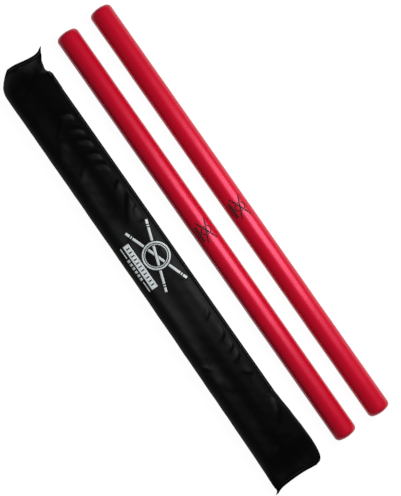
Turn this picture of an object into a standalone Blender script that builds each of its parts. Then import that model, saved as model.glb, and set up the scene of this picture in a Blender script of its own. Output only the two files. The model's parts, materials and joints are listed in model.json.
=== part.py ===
"""Focus training sticks: two foam-covered sticks lying beside their zipped carry bag.

Metres, +Z up, the sticks along X. The origin is on the floor, under the middle of the whole set.
"""

import math

import bmesh
import bpy
from mathutils import Vector

# --- Sticks -----------------------------------------------------------------------------------
STICK_LENGTH = 0.7112
STICK_DIAMETER = 0.0349
RIM_RADIUS = 0.007
DOME_RADIUS = 0.040
PIPE_DIAMETER = 0.0213
PIPE_WALL = 0.00275
END_PLUG_LENGTH = 0.020
CAP_FLANGE_THICKNESS = 0.002
CAP_SPIGOT_LENGTH = 0.012
CAP_WALL = 0.0015
ROUND_STEPS = 40

# --- Clearances -------------------------------------------------------------------------------
SEAT_GAP = 0.0003
END_SLACK = 0.0047
SIDE_SLACK = 0.0032
TOP_SLACK = 0.0006

# --- How the set is laid out ------------------------------------------------------------------
STICK_SPACING_GAP = 0.0241
BAG_SPACING_GAP = 0.0315
OUTER_STICK_SHIFT = -0.0037
INNER_STICK_SHIFT = -0.0028

# --- Bag --------------------------------------------------------------------------------------
CLOTH = 0.001
VALLEY_SAG = 0.004
END_ROUND = 0.012
# How the side edges leave the straight near each end: (distance from the end, distance outwards).
HEAD_EAR_EDGE = ((0, 8.5), (3, 7.2), (10, 4.4), (18, 0.6), (24, -2.5), (30, -4.0), (36, 0))
HEAD_ROUND_EDGE = ((0, -22), (2, -17.5), (6, -13), (10, -8.6), (18, -3.1), (26, 0))
TAIL_FLARE_EDGE = ((0, -6), (2, -2), (6, 1.2), (12, 3.6), (18, 5), (46, 5), (86, 2.2), (124, 0))
TAIL_EAR_EDGE = ((0, 4.2), (10, 2.5), (46, 2), (124, 0))

# --- Zip --------------------------------------------------------------------------------------
ZIP_TILT = math.radians(30)
ZIP_HEAD_MARGIN = 0.0365
ZIP_TAIL_MARGIN = 0.127
TAPE_THICKNESS = 0.0006
TAPE_WIDTH = 0.0075
COIL_THICKNESS = 0.0015
COIL_WIDTH = 0.002
STOP_LENGTH = 0.0022
STOP_OVERLAP = 0.0002
SLIDER_LENGTH = 0.011
SLIDER_PLATE = 0.0008
SLIDER_REAR_WIDTH = 0.0064
SLIDER_POST = 0.0006
SLIDER_POST_LENGTH = 0.003
FLANGE_THICKNESS = 0.0007
FLANGE_DEPTH = 0.0014
BAIL_LENGTH = 0.0068
BAIL_WIDTH = 0.0012
BAIL_THICKNESS = 0.0007
PULL_LENGTH = 0.024
PULL_WIDTH = 0.0044
PULL_THICKNESS = 0.0008
PULL_EYE_DIAMETER = 0.0018

# --- Worked out from the sizes above ----------------------------------------------------------
STICK_RADIUS = STICK_DIAMETER / 2
PIPE_RADIUS = PIPE_DIAMETER / 2
BORE_RADIUS = PIPE_RADIUS + SEAT_GAP

BAG_LENGTH = STICK_LENGTH + 2 * (END_SLACK + CLOTH)
BAG_WIDTH = 2 * STICK_DIAMETER + SIDE_SLACK + 2 * CLOTH
BAG_HEIGHT = STICK_DIAMETER + TOP_SLACK + 2 * CLOTH
ROLL_RADIUS = BAG_HEIGHT / 2
ROLL_OFFSET = BAG_WIDTH / 2 - ROLL_RADIUS

BAG_MID_Z = (BAG_HEIGHT + SEAT_GAP) / 2

EAR_REACH = max(outwards for _, outwards in TAIL_EAR_EDGE) / 1000
SET_WIDTH = 2 * STICK_DIAMETER + STICK_SPACING_GAP + BAG_SPACING_GAP + BAG_WIDTH + EAR_REACH
OUTER_STICK_Y = SET_WIDTH / 2 - STICK_RADIUS
INNER_STICK_Y = OUTER_STICK_Y - STICK_DIAMETER - STICK_SPACING_GAP
BAG_Y = INNER_STICK_Y - STICK_RADIUS - BAG_SPACING_GAP - BAG_WIDTH / 2

HEAD_X = -BAG_LENGTH / 2
ZIP_HEAD_X = HEAD_X + ZIP_HEAD_MARGIN
ZIP_TAIL_X = -HEAD_X - ZIP_TAIL_MARGIN
SLIDER_X = ZIP_HEAD_X + STOP_LENGTH + SEAT_GAP + SLIDER_LENGTH / 2

# Distances outwards from the middle of the roll that carries the zip.
TAPE_OUTER = ROLL_RADIUS - CLOTH - SEAT_GAP
TAPE_INNER = TAPE_OUTER - TAPE_THICKNESS
COIL_INNER = TAPE_OUTER + SEAT_GAP
COIL_OUTER = COIL_INNER + COIL_THICKNESS
TOP_PLATE_INNER = COIL_OUTER + SEAT_GAP
TOP_PLATE_OUTER = TOP_PLATE_INNER + SLIDER_PLATE
PULL_AXIS = TOP_PLATE_OUTER + SEAT_GAP + PULL_THICKNESS / 2
BAIL_INNER = PULL_AXIS + PULL_THICKNESS / 2 + SEAT_GAP
BAIL_OUTER = BAIL_INNER + BAIL_THICKNESS

# Distances along the cloth from the middle of the zip.
COIL_NEAR = SLIDER_POST / 2 + SEAT_GAP
COIL_FAR = COIL_NEAR + COIL_WIDTH
FLANGE_NEAR = COIL_FAR + STOP_OVERLAP + SEAT_GAP
SLIDER_HALF_WIDTH = FLANGE_NEAR + FLANGE_THICKNESS
HEM = SLIDER_HALF_WIDTH + SEAT_GAP

MATERIALS = {
    "red_foam": ((0.60, 0.01, 0.03), 0.45, 0.0),
    "white_pipe": ((0.75, 0.75, 0.72), 0.40, 0.0),
    "black_plastic": ((0.02, 0.02, 0.02), 0.45, 0.0),
    "black_nylon": ((0.012, 0.012, 0.013), 0.50, 0.0),
    "zip_tape": ((0.015, 0.015, 0.016), 0.80, 0.0),
    "zip_nylon": ((0.02, 0.02, 0.02), 0.35, 0.0),
    "zip_metal": ((0.18, 0.18, 0.19), 0.35, 1.0),
}


def clear_scene():
    for item in list(bpy.data.objects):
        bpy.data.objects.remove(item, do_unlink=True)


def material(name):
    found = bpy.data.materials.get(name)
    if found:
        return found
    colour, roughness, metallic = MATERIALS[name]
    made = bpy.data.materials.new(name)
    made.use_nodes = True
    shader = made.node_tree.nodes["Principled BSDF"]
    shader.inputs["Base Color"].default_value = (*colour, 1)
    shader.inputs["Roughness"].default_value = roughness
    shader.inputs["Metallic"].default_value = metallic
    return made


def new_object(name, bm, material_name, parent=None, smooth=False):
    """Closes the bmesh into an object of that name, with its faces turned outwards."""
    bmesh.ops.recalc_face_normals(bm, faces=bm.faces)
    if bm.calc_volume(signed=True) < 0:
        bmesh.ops.reverse_faces(bm, faces=bm.faces)
    mesh = bpy.data.meshes.new(name)
    bm.to_mesh(mesh)
    bm.free()
    if smooth:
        mesh.shade_smooth()
        mesh.set_sharp_from_angle(angle=math.radians(35))
    mesh.materials.append(material(material_name))
    item = bpy.data.objects.new(name, mesh)
    bpy.context.collection.objects.link(item)
    item.parent = parent
    return item


def boolean(target, other, operation):
    """Joins or cuts the target with the other object, which becomes a hidden helper."""
    modifier = target.modifiers.new(f"{operation.lower()}_{other.name}", "BOOLEAN")
    modifier.operation = operation
    modifier.object = other
    modifier.solver = "EXACT"
    other.hide_render = True
    other.display_type = "WIRE"


def empty(name, location, rotation=(0, 0, 0), parent=None):
    item = bpy.data.objects.new(name, None)
    bpy.context.collection.objects.link(item)
    item.location = location
    item.rotation_euler = rotation
    item.parent = parent
    return item


def turned(name, profile, material_name, parent):
    """Spins a profile of (place along X, radius) round the X axis."""
    bm = bmesh.new()
    points = [bm.verts.new((x, 0, radius)) for x, radius in profile]
    edges = [bm.edges.new(pair) for pair in zip(points, points[1:])]
    if profile[0][1] > 0:
        edges.append(bm.edges.new((points[-1], points[0])))
    bmesh.ops.spin(
        bm, geom=points + edges, cent=(0, 0, 0), axis=(1, 0, 0),
        angle=2 * math.pi, steps=ROUND_STEPS, use_merge=True,
    )
    bmesh.ops.remove_doubles(bm, verts=bm.verts, dist=1e-6)
    return new_object(name, bm, material_name, parent, smooth=True)


def prism(name, outline, low, high, axis, material_name, parent, smooth=False):
    """Extrudes an outline of two-number points from low to high along the X, Y or Z axis."""
    spots = {
        "X": lambda a, b, c: (c, a, b),
        "Y": lambda a, b, c: (a, c, b),
        "Z": lambda a, b, c: (a, b, c),
    }
    bm = bmesh.new()
    face = bm.faces.new([bm.verts.new(spots[axis](a, b, low)) for a, b in outline])
    raised = bmesh.ops.extrude_face_region(bm, geom=[face])["geom"]
    tops = [item for item in raised if isinstance(item, bmesh.types.BMVert)]
    bmesh.ops.translate(bm, verts=tops, vec=Vector(spots[axis](0, 0, high - low)))
    bmesh.ops.triangulate(bm, faces=[f for f in bm.faces if len(f.verts) > 4])
    return new_object(name, bm, material_name, parent, smooth)


def rectangle(low_a, high_a, low_b, high_b):
    return [(low_a, low_b), (high_a, low_b), (high_a, high_b), (low_a, high_b)]


# --- Sticks -----------------------------------------------------------------------------------
def end_depth(radius):
    """How far the domed end lies below its tip at that radius: a shallow dome, then a round rim."""
    rim_centre = STICK_RADIUS - RIM_RADIUS
    rim_depth = DOME_RADIUS - math.sqrt((DOME_RADIUS - RIM_RADIUS) ** 2 - rim_centre**2)
    tangent_radius = DOME_RADIUS * rim_centre / (DOME_RADIUS - RIM_RADIUS)
    if radius <= tangent_radius:
        return DOME_RADIUS - math.sqrt(DOME_RADIUS**2 - radius**2)
    reach = min(1.0, (radius - rim_centre) / RIM_RADIUS)
    return rim_depth - RIM_RADIUS * math.sqrt(1 - reach**2)


def end_curve(from_radius, to_radius, points):
    """Points on the domed end, as (place along X, radius), on the +X end of a stick.

    They crowd towards the larger radius, where the rim turns.
    """
    curve = []
    for i in range(points):
        radius = from_radius + (to_radius - from_radius) * math.sin(math.pi / 2 * i / (points - 1))
        curve.append((STICK_LENGTH / 2 - end_depth(radius), radius))
    return curve


def make_stick(name, location):
    stick = empty(f"{name}_stick", location)
    right = end_curve(BORE_RADIUS, STICK_RADIUS, 10)
    left = [(-x, radius) for x, radius in reversed(right)]
    turned(f"{name}_stick_foam_sleeve", right + left, "red_foam", stick)

    pipe_end = STICK_LENGTH / 2 - END_PLUG_LENGTH - 2 * SEAT_GAP - CAP_FLANGE_THICKNESS
    pipe_bore = PIPE_RADIUS - PIPE_WALL
    pipe = [
        (pipe_end, pipe_bore), (pipe_end, PIPE_RADIUS),
        (-pipe_end, PIPE_RADIUS), (-pipe_end, pipe_bore),
    ]
    turned(f"{name}_stick_core_tube", pipe, "white_pipe", stick)

    plug_back = STICK_LENGTH / 2 - END_PLUG_LENGTH
    plug_radius = BORE_RADIUS - SEAT_GAP
    plug = end_curve(0, plug_radius, 6) + [(plug_back, plug_radius), (plug_back, 0)]
    flange_outer = plug_back - SEAT_GAP
    flange_inner = flange_outer - CAP_FLANGE_THICKNESS
    spigot_end = flange_inner - CAP_SPIGOT_LENGTH
    spigot_radius = pipe_bore - SEAT_GAP
    cap = [
        (flange_outer, 0),
        (flange_outer, PIPE_RADIUS),
        (flange_inner, PIPE_RADIUS),
        (flange_inner, spigot_radius),
        (spigot_end, spigot_radius),
        (spigot_end, spigot_radius - CAP_WALL),
        (flange_inner, spigot_radius - CAP_WALL),
        (flange_inner, 0),
    ]
    for number, side in ((1, -1), (2, 1)):
        ends = {"end_plug": (plug, "red_foam"), "core_cap": (cap, "black_plastic")}
        for piece, (profile, finish) in ends.items():
            placed = [(side * x, radius) for x, radius in profile]
            turned(f"{name}_stick_{piece}_{number}", placed, finish, stick)


# --- Bag --------------------------------------------------------------------------------------
def along(points, distance):
    """Reads a (distance, value) outline in millimetres at a distance in metres, as metres."""
    millimetres = distance * 1000
    for (start, low), (end, high) in zip(points, points[1:]):
        if millimetres <= end:
            share = max(0.0, millimetres - start) / (end - start)
            return (low + share * (high - low)) / 1000
    return points[-1][1] / 1000


def stations():
    """Places along the bag, as (side, distance of the outer skin from that end, roundness).

    Roundness is the angle through the rounded end: 0 where the end starts to close and 90 at its edge.
    """
    found = []
    edges = {-1: (HEAD_EAR_EDGE, HEAD_ROUND_EDGE), 1: (TAIL_FLARE_EDGE, TAIL_EAR_EDGE)}
    for side, outlines in edges.items():
        turns = (90, 75, 60, 45, 30, 15, 0)
        closing = [(side, END_ROUND * (1 - math.sin(math.radians(a))), a) for a in turns]
        kept = {distance for outline in outlines for distance, _ in outline if distance / 1000 > END_ROUND}
        straight = [(side, distance / 1000, 0) for distance in sorted(kept)]
        found.append(closing + straight)
    return found[0] + found[1][::-1]


def seam_angle(side, distance):
    """How far up the +Y roll the two panels meet: at the zip, and down at mid height at the ends."""
    margin = ZIP_HEAD_MARGIN if side < 0 else ZIP_TAIL_MARGIN
    share = (distance - END_ROUND) / (margin - 4 * SEAT_GAP - END_ROUND)
    return ZIP_TILT * min(1.0, max(0.0, share))


def roll_arc(centre, radius, start, end, steps):
    angles = [start + (end - start) * i / steps for i in range(steps + 1)]
    return [(centre + radius * math.cos(a), radius * math.sin(a)) for a in angles]


def section(is_front, seam, depth):
    """Half of the bag's cross-section round its middle, from one seam to the other.

    Depth is how far the skin lies inside the outer face.
    """
    radius = ROLL_RADIUS - depth
    if is_front:
        right = roll_arc(ROLL_OFFSET, radius, seam, math.pi / 2, 6)
        left = roll_arc(-ROLL_OFFSET, radius, math.pi / 2, math.pi, 6)
        across = [ROLL_OFFSET * (1 - i / 5) for i in range(1, 10)]
        sags = [VALLEY_SAG * (1 + math.cos(math.pi * y / ROLL_OFFSET)) / 2 for y in across]
        valley = [(y, radius - sag) for y, sag in zip(across, sags)]
        return right + valley + left
    left = roll_arc(-ROLL_OFFSET, radius, math.pi, math.pi * 1.5, 6)
    right = roll_arc(ROLL_OFFSET, radius, math.pi * 1.5, 2 * math.pi, 6)
    rising = roll_arc(ROLL_OFFSET, radius, 0, seam, 3)[1:] if seam > 0 else [right[-1]] * 3
    return left + right + rising


def skin(is_front, depth):
    """Rows of points over one panel, one row for each station."""
    rows = []
    lift = SEAT_GAP / 2 if is_front else -SEAT_GAP / 2
    for side, distance, angle in stations():
        round_share = math.sin(math.radians(angle))
        x = BAG_LENGTH / 2 - distance
        if angle > 0:
            x -= depth * round_share
        height_share = math.cos(math.radians(angle))
        plus, minus = (HEAD_EAR_EDGE, HEAD_ROUND_EDGE) if side < 0 else (TAIL_FLARE_EDGE, TAIL_EAR_EDGE)
        row = []
        for y, z in section(is_front, seam_angle(side, distance), depth):
            outwards = along(plus if y > 0 else minus, distance)
            widened = y * (BAG_WIDTH / 2 + outwards - depth) / (BAG_WIDTH / 2 - depth)
            row.append((side * x, BAG_Y + widened, BAG_MID_Z + lift + z * height_share))
        rows.append(row)
    return rows


def make_panel(name, is_front):
    """A cloth shell: an outer skin, an inner skin and the rim that joins them at the seam."""
    bm = bmesh.new()
    grids = []
    for depth in (0, CLOTH):
        grid = [[bm.verts.new(point) for point in row] for row in skin(is_front, depth)]
        for low, high in zip(grid, grid[1:]):
            for i in range(len(low) - 1):
                bm.faces.new((low[i], low[i + 1], high[i + 1], high[i]))
        top, bottom = grid[0], grid[-1]
        left = [row[0] for row in grid[1:-1]]
        right = [row[-1] for row in grid[1:-1]]
        grids.append(top + right + bottom[::-1] + left[::-1])
    outer, inner = grids
    for i in range(len(outer)):
        j = (i + 1) % len(outer)
        bm.faces.new((outer[i], outer[j], inner[j], inner[i]))
    bmesh.ops.remove_doubles(bm, verts=bm.verts, dist=1e-6)
    return new_object(name, bm, "black_nylon", smooth=True)


# --- Zip --------------------------------------------------------------------------------------
def make_tape(name, side, zip_line):
    """A strip that follows the roll just under the panel's hem, on one side of the zip's middle."""
    first = math.asin((COIL_NEAR + SEAT_GAP / 3) / TAPE_OUTER)
    last = first + TAPE_WIDTH / TAPE_OUTER
    outer = roll_arc(0, TAPE_OUTER, side * first, side * last, 6)
    inner = roll_arc(0, TAPE_INNER, side * last, side * first, 6)
    prism(name, outer + inner, ZIP_HEAD_X, ZIP_TAIL_X, "X", "zip_tape", zip_line)


def make_coils_and_stops(zip_line):
    """The two coil rows, a top stop on each, and one bottom stop across both."""
    coil_ends = (ZIP_HEAD_X + STOP_LENGTH + SEAT_GAP, ZIP_TAIL_X - STOP_LENGTH - SEAT_GAP)
    stop_outer = COIL_OUTER + STOP_OVERLAP
    for name, side in (("front", 1), ("back", -1)):
        coil = rectangle(COIL_INNER, COIL_OUTER, side * COIL_NEAR, side * COIL_FAR)
        prism(f"zip_coil_{name}", coil, *coil_ends, "X", "zip_nylon", zip_line)
        stop = rectangle(COIL_INNER, stop_outer, side * COIL_NEAR, side * (COIL_FAR + STOP_OVERLAP))
        prism(
            f"zip_top_stop_{name}", stop, ZIP_HEAD_X, ZIP_HEAD_X + STOP_LENGTH,
            "X", "zip_metal", zip_line,
        )
    across = rectangle(COIL_INNER, stop_outer, -COIL_FAR - STOP_OVERLAP, COIL_FAR + STOP_OVERLAP)
    prism("zip_bottom_stop", across, ZIP_TAIL_X - STOP_LENGTH, ZIP_TAIL_X, "X", "zip_metal", zip_line)


def make_slider(zip_line):
    """Two plates joined by a post between the coils, with flanges at the sides and a bail on top."""
    holder = empty("slider_place", (SLIDER_X, 0, 0), parent=zip_line)
    end = SLIDER_LENGTH / 2
    wide, narrow = SLIDER_HALF_WIDTH, SLIDER_REAR_WIDTH / 2
    half_outline = [(-end, 0.75 * wide), (-0.7 * end, wide), (0.1 * end, wide), (0.8 * end, narrow)]
    half_outline.append((end, 0.6 * narrow))
    outline = half_outline + [(x, -t) for x, t in reversed(half_outline)]
    slider = prism(
        "zip_slider", outline, TOP_PLATE_INNER, TOP_PLATE_OUTER, "Y", "zip_metal", holder, smooth=True
    )

    sunk = SLIDER_PLATE / 2
    plate_inner = math.sqrt(TAPE_INNER**2 - wide**2) - SEAT_GAP
    helpers = [
        prism(
            "slider_inner_plate", outline, plate_inner - SLIDER_PLATE, plate_inner,
            "Y", "zip_metal", holder,
        )
    ]
    post = rectangle(-0.85 * end, -0.85 * end + SLIDER_POST_LENGTH, -SLIDER_POST / 2, SLIDER_POST / 2)
    helpers.append(
        prism(
            "slider_post", post, plate_inner - sunk, TOP_PLATE_INNER + sunk, "Y", "zip_metal", holder
        )
    )
    for name, side in (("front", 1), ("back", -1)):
        flange = rectangle(-0.7 * end, 0.1 * end, side * FLANGE_NEAR, side * wide)
        helpers.append(
            prism(
                f"slider_flange_{name}", flange, TOP_PLATE_INNER - FLANGE_DEPTH, TOP_PLATE_INNER + sunk,
                "Y", "zip_metal", holder,
            )
        )
    helpers.append(make_bail(holder, sunk))
    for helper in helpers:
        boolean(slider, helper, "UNION")


def make_bail(holder, sunk):
    """A low bridge along the slider, which the pull's bar passes under."""
    outer_end = BAIL_LENGTH / 2
    inner_end = outer_end - BAIL_THICKNESS
    foot = TOP_PLATE_OUTER - sunk
    arch = [
        (-outer_end, foot), (-outer_end, BAIL_INNER), (-inner_end, BAIL_OUTER),
        (inner_end, BAIL_OUTER), (outer_end, BAIL_INNER), (outer_end, foot),
        (inner_end, foot), (inner_end, BAIL_INNER), (-inner_end, BAIL_INNER), (-inner_end, foot),
    ]
    return prism("slider_bail", arch, -BAIL_WIDTH / 2, BAIL_WIDTH / 2, "Z", "zip_metal", holder)


def make_pull(zip_line):
    """A flat tab whose end bar lies under the bail, with a slot that clears the bail as it swings."""
    holder = empty("pull_axis", (SLIDER_X, PULL_AXIS, 0), parent=zip_line)
    bar = PULL_THICKNESS / 2
    half, tip = PULL_WIDTH / 2, PULL_LENGTH
    bail_reach = math.hypot(BAIL_LENGTH / 2, BAIL_OUTER - PULL_AXIS)
    half_outline = [(-bar, half - bar), (0, half), (0.45 * tip, half), (0.6 * tip, 0.8 * half)]
    half_outline += [(0.93 * tip, 0.8 * half), (tip, 0.45 * half)]
    outline = half_outline + [(x, -t) for x, t in reversed(half_outline)]
    pull = prism("zip_pull_tab", outline, -bar, bar, "Y", "zip_metal", holder, smooth=True)

    slot_half = BAIL_WIDTH / 2 + SEAT_GAP
    slot = rectangle(bar, bail_reach + SEAT_GAP, -slot_half, slot_half)
    boolean(pull, prism("pull_slot", slot, -2 * bar, 2 * bar, "Y", "zip_metal", holder), "DIFFERENCE")
    eye_centre = 0.86 * tip
    turns = [2 * math.pi * i / 16 for i in range(16)]
    eye_radius = PULL_EYE_DIAMETER / 2
    eye = [(eye_centre + eye_radius * math.cos(a), eye_radius * math.sin(a)) for a in turns]
    boolean(pull, prism("pull_eye", eye, -2 * bar, 2 * bar, "Y", "zip_metal", holder), "DIFFERENCE")


def cut_zip_opening(panel, zip_line):
    """Cuts the panel's hem back from the coils, so that the slider runs between the two hems."""
    overlap = 2 * SEAT_GAP
    outline = rectangle(ROLL_RADIUS / 2, ROLL_RADIUS * 1.5, -HEM, HEM)
    cutter = prism(
        f"{panel.name}_zip_cutter", outline, ZIP_HEAD_X - overlap, ZIP_TAIL_X + overlap,
        "X", "black_nylon", zip_line,
    )
    boolean(panel, cutter, "DIFFERENCE")


def build():
    clear_scene()
    make_stick("outer", (OUTER_STICK_SHIFT, OUTER_STICK_Y, STICK_RADIUS))
    make_stick("inner", (INNER_STICK_SHIFT, INNER_STICK_Y, STICK_RADIUS))
    zip_line = empty("zip_line", (0, BAG_Y + ROLL_OFFSET, BAG_MID_Z), (ZIP_TILT, 0, 0))
    for name, is_front in (("bag_front_panel", True), ("bag_back_panel", False)):
        cut_zip_opening(make_panel(name, is_front), zip_line)
    make_tape("zip_tape_front", 1, zip_line)
    make_tape("zip_tape_back", -1, zip_line)
    make_coils_and_stops(zip_line)
    make_slider(zip_line)
    make_pull(zip_line)


build()
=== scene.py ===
"""The looks of two foam-covered training sticks and their zipped carry bag.

Metres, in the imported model's frame: X along the sticks, Y from the bag across to the sticks, Z up.
"""

import json
import math

import bmesh
import bpy
import numpy as np
from mathutils import Matrix, Vector, noise
from mathutils.bvhtree import BVHTree


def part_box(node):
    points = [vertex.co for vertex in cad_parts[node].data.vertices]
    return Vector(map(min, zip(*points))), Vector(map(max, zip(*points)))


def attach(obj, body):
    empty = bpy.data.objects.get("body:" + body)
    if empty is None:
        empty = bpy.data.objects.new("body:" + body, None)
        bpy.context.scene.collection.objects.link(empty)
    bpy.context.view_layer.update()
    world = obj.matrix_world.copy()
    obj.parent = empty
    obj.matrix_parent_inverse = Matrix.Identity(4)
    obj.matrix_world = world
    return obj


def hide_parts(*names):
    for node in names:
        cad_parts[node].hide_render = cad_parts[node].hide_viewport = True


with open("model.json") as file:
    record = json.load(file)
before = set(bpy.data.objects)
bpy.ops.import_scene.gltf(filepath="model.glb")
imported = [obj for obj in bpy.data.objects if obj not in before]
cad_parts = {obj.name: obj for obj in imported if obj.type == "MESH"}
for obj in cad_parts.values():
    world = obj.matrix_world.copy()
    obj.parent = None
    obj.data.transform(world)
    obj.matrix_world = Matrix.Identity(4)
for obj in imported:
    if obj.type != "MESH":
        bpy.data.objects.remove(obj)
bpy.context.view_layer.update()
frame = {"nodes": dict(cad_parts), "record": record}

MM = 0.001
CLOTH_MAP = "cloth"
# A wave texture has one band in this length at a scale of 1.
WAVE_TURN = 2 * math.pi / 20
# Edges sharper than this stay crisp on a smooth piece.
SHARP_ANGLE = math.radians(50)

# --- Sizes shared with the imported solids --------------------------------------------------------
# The bag: its cloth's thickness, its two rolls, how far up its roll the zip faces, the distance
# from the middle of the zip to the edge of the cloth, and the teeth's inside, outside and pitch.
CLOTH = 0.0008
ROLL_RADIUS = 0.01875
ZIP_TILT = math.radians(30)
HEM = 0.0041
COIL_INNER = 0.01775
COIL_OUTER = 0.01925
TOOTH_PITCH = 1.27 * MM
# The sticks: the end plug, the bore that it closes, and a round rim about a shallow dome.
PLUG_RADIUS = 0.01065
PLUG_LENGTH = 0.020
BORE_RADIUS = 0.01095
RIM_RADIUS = 0.007
DOME_RADIUS = 0.040

# --- The bag's place ----------------------------------------------------------------------------
FRONT_LOW, FRONT_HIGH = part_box("bag_front_panel")
BAG_BASE = Vector(frame["record"]["mounts"][0]["pos_m"])
BAG_Y = BAG_BASE.y
BAG_HEAD_X = FRONT_LOW[0]
BAG_TAIL_X = FRONT_HIGH[0]
BAG_MID_Z = FRONT_HIGH[2] - ROLL_RADIUS
BAG_HALF_WIDTH = 2 * ROLL_RADIUS
COIL_LOW, COIL_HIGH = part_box("zip_coil_front")
ZIP_HEAD_X = COIL_LOW[0]
ZIP_TAIL_X = COIL_HIGH[0]

STICKS = {"outer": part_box("outer_stick_foam_sleeve"), "inner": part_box("inner_stick_foam_sleeve")}


# --- Small helpers ------------------------------------------------------------------------------
def linear(code):
    """An sRGB hex colour as linear red, green and blue, with an alpha of 1."""
    channels = [int(code[i:i + 2], 16) / 255 for i in (1, 3, 5)]
    mixed = [c / 12.92 if c <= 0.04045 else ((c + 0.055) / 1.055) ** 2.4 for c in channels]
    return (*mixed, 1.0)


def add(tree, kind, inputs=None, **settings):
    """Adds a node with its settings; an input is a value, or the output socket to link."""
    node = tree.nodes.new(kind)
    for name, value in settings.items():
        setattr(node, name, value)
    for key, value in (inputs or {}).items():
        if isinstance(value, bpy.types.NodeSocket):
            tree.links.new(value, node.inputs[key])
        else:
            node.inputs[key].default_value = value
    return node


def new_material(name):
    """An empty node material with its Principled shader."""
    made = bpy.data.materials.new(name)
    made.use_nodes = True
    return made, made.node_tree, made.node_tree.nodes["Principled BSDF"]


def set_inputs(shader, **values):
    """Sets constants on a shader's own sockets, which are named with _ for a space."""
    for name, value in values.items():
        shader.inputs[name.replace("_", " ")].default_value = value


def make_piece(name, bm, finish, body):
    """Turns a bmesh in the model's frame into a smooth piece that rides on a body."""
    mesh = bpy.data.meshes.new(name)
    bm.to_mesh(mesh)
    bm.free()
    piece = bpy.data.objects.new(name, mesh)
    bpy.context.collection.objects.link(piece)
    mesh.materials.append(finish)
    mesh.shade_smooth()
    mesh.set_sharp_from_angle(angle=SHARP_ANGLE)
    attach(piece, body)
    return piece


def eased(points, distance):
    """Reads a smooth curve through (distance, value) points, flat beyond its ends. Millimetres."""
    if distance <= points[0][0]:
        return points[0][1]
    if distance >= points[-1][0]:
        return points[-1][1]
    i = max(k for k in range(len(points) - 1) if points[k][0] <= distance)
    (x0, y0), (x1, y1) = points[i], points[i + 1]
    before = points[i - 1] if i > 0 else points[i]
    slope0 = (y1 - before[1]) / (x1 - before[0])
    after = points[i + 2] if i + 2 < len(points) else None
    slope1 = (after[1] - y0) / (after[0] - x0) if after else 0.0
    span = x1 - x0
    t = (distance - x0) / span
    return (
        y0 * (2 * t**3 - 3 * t**2 + 1) + y1 * (3 * t**2 - 2 * t**3)
        + span * (slope0 * (t**3 - 2 * t**2 + t) + slope1 * (t**3 - t**2))
    )


def step(low, high, value):
    """0 below low, 1 above high and a smooth rise between them."""
    t = min(1.0, max(0.0, (value - low) / (high - low)))
    return t * t * (3 - 2 * t)


def wander(x, y, seed, size):
    """Smooth noise from -1 to 1 with features of that size, in millimetres."""
    return noise.noise(Vector((x / size, y / size, seed)))


# --- Materials ----------------------------------------------------------------------------------
def make_foam_skin():
    """Closed-cell NBR foam, extruded with its own skin: satin, finely pebbled, a little cloudy."""
    made, tree, shader = new_material("closed_cell_foam_red")
    place = add(tree, "ShaderNodeTexCoord").outputs["Object"]
    cloud = add(
        tree, "ShaderNodeTexNoise", {"Vector": place, "Scale": 1 / (45 * MM), "Detail": 3.0}
    )
    colour = add(
        tree, "ShaderNodeMix",
        {"Factor": cloud.outputs["Fac"], 6: linear("#BE011E"), 7: linear("#CA0124")},
        data_type="RGBA",
    )
    # Foam cells are 0.1 mm wide; the skin over them has pebbles about ten times as wide.
    pebble = add(
        tree, "ShaderNodeTexNoise",
        {"Vector": place, "Scale": 1 / (1.1 * MM), "Detail": 4.0, "Roughness": 0.6},
    )
    rough = add(
        tree, "ShaderNodeMapRange",
        {"Value": pebble.outputs["Fac"], "To Min": 0.28, "To Max": 0.36},
    )
    bump = add(
        tree, "ShaderNodeBump",
        {"Height": pebble.outputs["Fac"], "Strength": 0.45, "Distance": 0.12 * MM},
    )
    tree.links.new(colour.outputs[2], shader.inputs["Base Color"])
    tree.links.new(rough.outputs["Result"], shader.inputs["Roughness"])
    tree.links.new(bump.outputs["Normal"], shader.inputs["Normal"])
    set_inputs(shader, IOR=1.5, Specular_IOR_Level=1.0, Specular_Tint=linear("#FF7CA0"))
    return made


def make_cut_foam():
    """The same foam cut across for the end plugs: duller, with its fine open cells showing."""
    made, tree, shader = new_material("cut_foam_red")
    place = add(tree, "ShaderNodeTexCoord").outputs["Object"]
    # Real cells are 0.1 mm; they are drawn 0.8 mm wide so that they show.
    cells = add(tree, "ShaderNodeTexVoronoi", {"Vector": place, "Scale": 1 / (0.8 * MM)})
    colour = add(
        tree, "ShaderNodeMix",
        {"Factor": cells.outputs["Distance"], 6: linear("#A60121"), 7: linear("#C2022B")},
        data_type="RGBA",
    )
    bump = add(
        tree, "ShaderNodeBump",
        {"Height": cells.outputs["Distance"], "Strength": 0.35, "Distance": 0.15 * MM},
    )
    tree.links.new(colour.outputs[2], shader.inputs["Base Color"])
    tree.links.new(bump.outputs["Normal"], shader.inputs["Normal"])
    set_inputs(shader, Roughness=0.7, IOR=1.5)
    return made


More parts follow.
